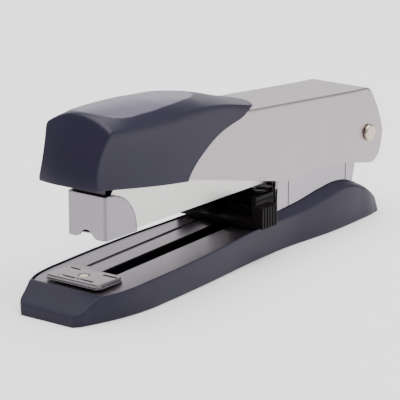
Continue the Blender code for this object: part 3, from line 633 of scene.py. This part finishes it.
# Staples: flat-topped wire staples glued side by side into a strip.
STAPLE_HALF, STAPLE_TOP, STAPLE_LEG, WIRE, PITCH = 6.35, 30.1, 5.8, 0.5, 0.52
strip_low, strip_high = [(corner.y - NOSE_FRONT.y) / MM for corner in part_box("staple_strip")]
count = int((strip_high - strip_low) / PITCH)
leg_x, foot_z, crown_z = STAPLE_HALF - WIRE / 2, STAPLE_TOP - STAPLE_LEG, STAPLE_TOP - WIRE / 2
outline = rounded_path([np.array([[x, 0.0, z]]) for x, z in (
    (-leg_x, foot_z), (-leg_x, crown_z), (leg_x, crown_z), (leg_x, foot_z))], (0.6, 0.6), 3)[0]
half_wire = 0.47 * WIRE
outward = half_wire * np.array([[-1, 0, 0], [-1, 0, 0], [-0.7, 0, 0.7], [0, 0, 1], [0, 0, 1], [0.7, 0, 0.7],
                                [1, 0, 0], [1, 0, 0]])
along = half_wire * np.array([0, 1, 0])
section = np.stack([outline + sx * outward + sy * along
                    for sx, sy in ((1, 1), (1, -1), (-1, -1), (-1, 1))], axis=1)
starts = strip_low + WIRE / 2 + PITCH * np.arange(count)
staples = section[None] + np.array([0, 1, 0]) * starts[:, None, None, None]
index = np.arange(count * section.shape[0] * section.shape[1]).reshape(count, *section.shape[:2])
wrap = np.concatenate([index, index[:, :, :1]], axis=2)
sides = np.stack([wrap[:, :-1, :-1], wrap[:, :-1, 1:], wrap[:, 1:, 1:], wrap[:, 1:, :-1]], axis=-1)
ends = np.concatenate([index[:, 0], index[:, -1, ::-1]])
strip_mesh = bpy.data.meshes.new("staples")
strip_mesh.from_pydata((staples.reshape(-1, 3) * MM + np.array(NOSE_FRONT)).tolist(), [],
                       np.concatenate([sides.reshape(-1, 4), ends]).tolist())
stands_for(solid_object("staples", strip_mesh), spring_steel, "staple_strip")

# ------------------------------------------------------------------ loading frame and driver
# Inner frame that lifts with the handle for loading, with the driver's leaf on it, the driver blade
# behind the nose plate and the coil that lifts the handle.
blued = rolled_steel("blued_steel", (0.045, 0.038, 0.042), (0.07, 0.06, 0.066), 0.34)
for node in ("loading_frame", "driver_leaf", "driver_blade"):
    eased(node, 0.12, blued)
spring_of("handle_spring", "handle_spring_coil", "Z", 3.6, 0.9, 5)

# ------------------------------------------------------------------ handle cover
# Satin steel channel bent over the mechanism: sharp-radiused top edges, a straight rising front
# edge, a rounded tail that closes the back. Made as a skin with a 1 mm wall.
cover_steel = rolled_steel("cover_steel", (0.36, 0.315, 0.33), (0.415, 0.368, 0.38), 0.34)
COVER_WALL, COVER_BEND = 1.0, 0.9
SPINE = ((21.0, 56.45), (50.0, 54.23), (82.4, 51.74), (93.1, 50.92), (101.0, 50.31), (109.0, 49.70),
         (119.0, 48.93), (131.5, 47.98), (138.0, 47.62), (142.4, 47.30), (145.0, 45.95), (147.2, 42.9),
         (149.4, 39.2), (151.3, 35.3), (152.4, 32.2))
LOWER = ((21.0, 39.26), (50.0, 32.82), (82.4, 25.6), (93.1, 23.4), (101.0, 23.95), (109.0, 24.5),
         (119.0, 23.8), (131.5, 21.8), (138.0, 20.5), (144.6, 19.25), (147.2, 19.6), (149.3, 20.8),
         (150.8, 22.9), (151.8, 26.6), (152.38, 30.4))


def along_knots(points, steps):
    """Smooth path through points that are evenly spaced in its parameter."""
    at = np.linspace(0, len(points) - 1, steps)
    return np.stack([rise(at, [(k, p[axis]) for k, p in enumerate(points)]) for axis in (0, 1)], axis=1)


# The spine is straight as far as the tail; the flanks hang from it, bent inwards by the sheet's bend.
COVER_STEPS, STRAIGHT_END = 170, 131
spine, lower = along_knots(SPINE, COVER_STEPS), along_knots(LOWER, COVER_STEPS)
straight = np.interp(spine[:, 0], *zip(SPINE[0], SPINE[7]))
spine[:, 1] = np.where(spine[:, 0] < STRAIGHT_END, straight, spine[:, 1])
tangent = np.gradient(spine, axis=0)
tangent /= np.linalg.norm(tangent, axis=1, keepdims=True)
inward = np.stack([tangent[:, 1], -tangent[:, 0]], axis=1)
bend = np.minimum(COVER_BEND, 0.4 * np.linalg.norm(spine - lower, axis=1))[:, None]
cover_rows = []
for t in np.linspace(0, 1, 22):
    yz = lower + (spine + inward * bend - lower) * t
    cover_rows.append(np.column_stack([np.full(len(yz), COVER_HALF), yz]))
for turn_angle in np.radians(np.linspace(0, 90, 8))[1:]:
    yz = spine + inward * bend * (1 - math.sin(turn_angle))
    x = COVER_HALF - bend[:, 0] * (1 - math.cos(turn_angle))
    cover_rows.append(np.column_stack([x, yz]))
for t in np.linspace(0, 1, 8)[1:]:
    cover_rows.append(np.column_stack([(COVER_HALF - bend[:, 0]) * (1 - t), spine]))
cover_points = mirror_across(np.stack(cover_rows, axis=1))
cover = walled(surface("handle_cover_formed", cover_points, smooth_below=50), COVER_WALL, 0.18)
stands_for(cover, cover_steel, "handle_cover")

# ------------------------------------------------------------------ grip cap
# Moulded slate cap over the front of the cover: leaning front face, rounded ridge down each side,
# a domed top with a flatter thumb panel let into it, and an arched rear edge on each flank.
CAP_WALL, PANEL_TINT = 0.7, (0.095, 0.086, 0.122)
FACE_Y, FACE_LOW, FACE_TALL, FACE_HALF, FACE_LEAN, FACE_BOW = -8.7, 41.8, 17.4, 12.6, 5.3, 2.0
CAP_FOOT = ((-9, 12.2), (10, 12.6), (30, 13.1), (60, 13.2), (90, 13.2))
CAP_LOW = ((-9, 41.7), (-3, 40.8), (10, 38.8), (20, 37.35), (34, 35.7), (60, 33.0), (90, 31.0))
CAP_WIDE = ((-4, 13.4), (5, 14.0), (20, 14.2), (40, 14.0), (60, 13.5), (80, 13.3))
CAP_HOLLOW = ((-9, 1.2), (0, 1.0), (15, 0.5), (30, 0.1), (60, 0.0), (90, 0.0))
CAP_RIDGE = ((-4, 59.2), (5, 58.4), (15, 57.8), (25, 57.8), (35, 58.2), (46, 58.1), (57, 56.9), (68, 54.8),
             (74, 53.7), (80, 52.9))
CAP_DOME = ((-4.2, 4.2), (1.5, 5.9), (5, 7.4), (10, 9.2), (15, 9.7), (25, 8.5), (31, 7.0), (37, 5.8),
            (42, 4.9), (48, 3.6), (53, 3.0), (58, 2.45), (68, 1.5), (76, 0.8), (80, 0.5))
PANEL_TOP = ((-4.2, 63.77), (5, 64.28), (12, 64.4), (20, 64.25), (25, 64.0), (31, 63.3), (37, 62.62),
             (42, 61.98), (48, 61.15), (53, 60.5), (58, 60.1), (80, 59.2))
PANEL_ARCH = ((12, 0.022), (25, 0.021), (31, 0.017), (37, 0.012), (42, 0.008), (48, 0.004), (53, 0.0))
ARCH_Y = np.array([36.0, 37.5, 39.8, 42.0, 45.0, 47.5, 50.0, 53.0, 56.0, 58.5, 62.0, 64.0, 66.5, 68.5])
ARCH_Z = np.array([35.9, 38.0, 40.4, 42.2, 44.2, 45.8, 47.1, 48.4, 49.3, 49.9, 50.6, 51.0, 51.8, 53.4])


def panel_height(y, x):
    """Height of the thumb panel: a shallow arch across X that flattens towards the rear."""
    return rise(y, PANEL_TOP) - rise(y, PANEL_ARCH) * x**2


def panel_share(y, x):
    """1 on the thumb panel and 0 on the dome, by which of the two surfaces is the lower."""
    ridge, wide = rise(y, CAP_RIDGE), rise(y, CAP_WIDE)
    dome = ridge + rise(y, CAP_DOME) * (1 - (x / wide)**2)
    return np.clip(0.5 + (dome - panel_height(y, x)) / 0.12, 0, 1)


def cap_section(y, s):
    """Point of the half section: s runs 0 to 1 up the side and 1 to 2 from the ridge to the middle.
    The top is the lower of the dome and the flatter panel, joined over a quarter of a millimetre."""
    low, ridge = rise(y, CAP_LOW), rise(y, CAP_RIDGE)
    foot, wide = rise(y, CAP_FOOT), rise(y, CAP_WIDE)
    up = np.clip(s, 0, 1)
    x = foot + (wide - foot) * up**1.4 - rise(y, CAP_HOLLOW) * 4 * up * (1 - up)
    x = np.where(s > 1, wide * (2 - s), x)
    dome = ridge + rise(y, CAP_DOME) * (1 - (x / wide)**2)
    panel = panel_height(y, x)
    top = 0.5 * (dome + panel - np.sqrt((dome - panel)**2 + 0.012))
    top = np.where(s > 1, np.minimum(top, dome), ridge)
    z = np.where(s > 1, top, low + (ridge - low) * up)
    return x, z


def face_y(x, z):
    """Y of the front face: it leans back with height to the power 1.5 and bows out by a parabola of X."""
    height = np.clip((z - FACE_LOW) / FACE_TALL, 0, 1.3)
    return FACE_Y + FACE_LEAN * height**1.5 - FACE_BOW * (1 - np.clip(np.abs(x) / FACE_HALF, 0, 1)**2)


def cap_panel(x, y, z):
    """Share of the thumb panel, on the top surface only."""
    return panel_share(y, x) * (z > 56) * (y > -3)


# Rows run back from the front face to the rear edge, which arches up each flank to the ridge and
# closes over the top in a shallow bow.
TOP_END, TOP_BOW, FLANK_END, RIDGE_END = 79.0, 7.5, 68.5, 70.8
side_s = np.linspace(0, 1, 26)
crown_s = 1 + np.linspace(0, 1, 66)[1:]
s = np.concatenate([side_s, crown_s])
arch_s = (ARCH_Z - rise(ARCH_Y, CAP_LOW)) / (rise(ARCH_Y, CAP_RIDGE) - rise(ARCH_Y, CAP_LOW))
from_middle = 1.048 * np.clip(2 - s, 0, 1)
rear = np.where(s <= 1, np.interp(s, arch_s, ARCH_Y), TOP_END - TOP_BOW * from_middle**2)
joined = np.clip((s - arch_s[-1]) / (1.0 - arch_s[-1]), 0, 1)
rear = np.where((s <= 1) & (s > arch_s[-1]), FLANK_END + (RIDGE_END - FLANK_END) * joined, rear)
start = face_y(*cap_section(np.full(len(s), -6.0), s)) + 0.8 * np.exp(-(s / 0.03)**2)
rows = np.concatenate([[0.0, 0.004, 0.009, 0.015, 0.022, 0.030, 0.039], np.linspace(0.05, 1, 130)])
rows = rows[:, None]
cap_y = start + (rear - start) * rows
cap_x, cap_z = cap_section(cap_y, np.tile(s, (len(rows), 1)))
cap_rows = np.stack([cap_x, cap_y, cap_z], axis=2)
edge_row = cap_rows[:1]
shrink = np.concatenate([np.linspace(0, 0.9, 14), [0.93, 0.955, 0.975, 0.99]])[:, None, None]
middle = np.array([0.0, FACE_Y - FACE_BOW, FACE_LOW])
face_rows = middle + (edge_row - middle) * shrink
face_rows[..., 1] = face_y(face_rows[..., 0], face_rows[..., 2])
cap_points = mirror_across(np.concatenate([face_rows, cap_rows]))

# The front edge and the two ridges are rounded by averaging each point with its neighbours.
front_edge, half_columns = len(face_rows), len(s)
row_at, column_at = np.arange(len(cap_points)), np.arange(cap_points.shape[1])
near_front = np.clip(1.5 - np.abs(row_at - front_edge) / 7, 0, 1)[1:-1, None, None]
far_ridge = 2 * half_columns - 2 - len(side_s)
from_ridge = np.minimum(np.abs(column_at - len(side_s)), np.abs(column_at - far_ridge))
near_ridge = np.clip(1.5 - from_ridge / 2.5, 0, 1)[None, 1:-1, None]
for _ in range(9):
    eased_rows = 0.5 * (cap_points[:-2] + cap_points[2:]) - cap_points[1:-1]
    cap_points[1:-1] += 0.5 * near_front * eased_rows
    eased_columns = 0.5 * (cap_points[:, :-2] + cap_points[:, 2:]) - cap_points[:, 1:-1]
    cap_points[:, 1:-1] += 0.5 * near_ridge * eased_columns
cap_skin = surface("handle_cap_formed", cap_points, smooth_below=60)
mark(cap_skin, "panel", cap_panel)


def grip_plastic(name):
    """The shell's plastic, with the thumb panel polished smoother and paler."""
    finish = Finish(name)
    on_panel = finish.node("ShaderNodeAttribute", {"attribute_name": "panel"}, {}, "Fac")
    grit = finish.noise(GRIT, detail=2.0)
    cloud = finish.noise(CLOUD, detail=4.0)
    tint = finish.blend(on_panel, finish.blend(cloud, SLATE, SLATE_CLOUD), PANEL_TINT)
    return finish.surface(Base_Color=tint, Roughness=SLATE_ROUGH - 0.10 * on_panel + 0.07 * (cloud - 0.5),
                          Specular_IOR_Level=SLATE_GLOSS, Normal=finish.bump(grit, SLATE_GRAIN))


cap = walled(cap_skin, CAP_WALL, 0.2)
stands_for(cap, grip_plastic("grip_plastic"), "handle_cap")
for node in ("cap_screw_front", "cap_screw_rear"):
    eased(node, 0.2, spring_steel)
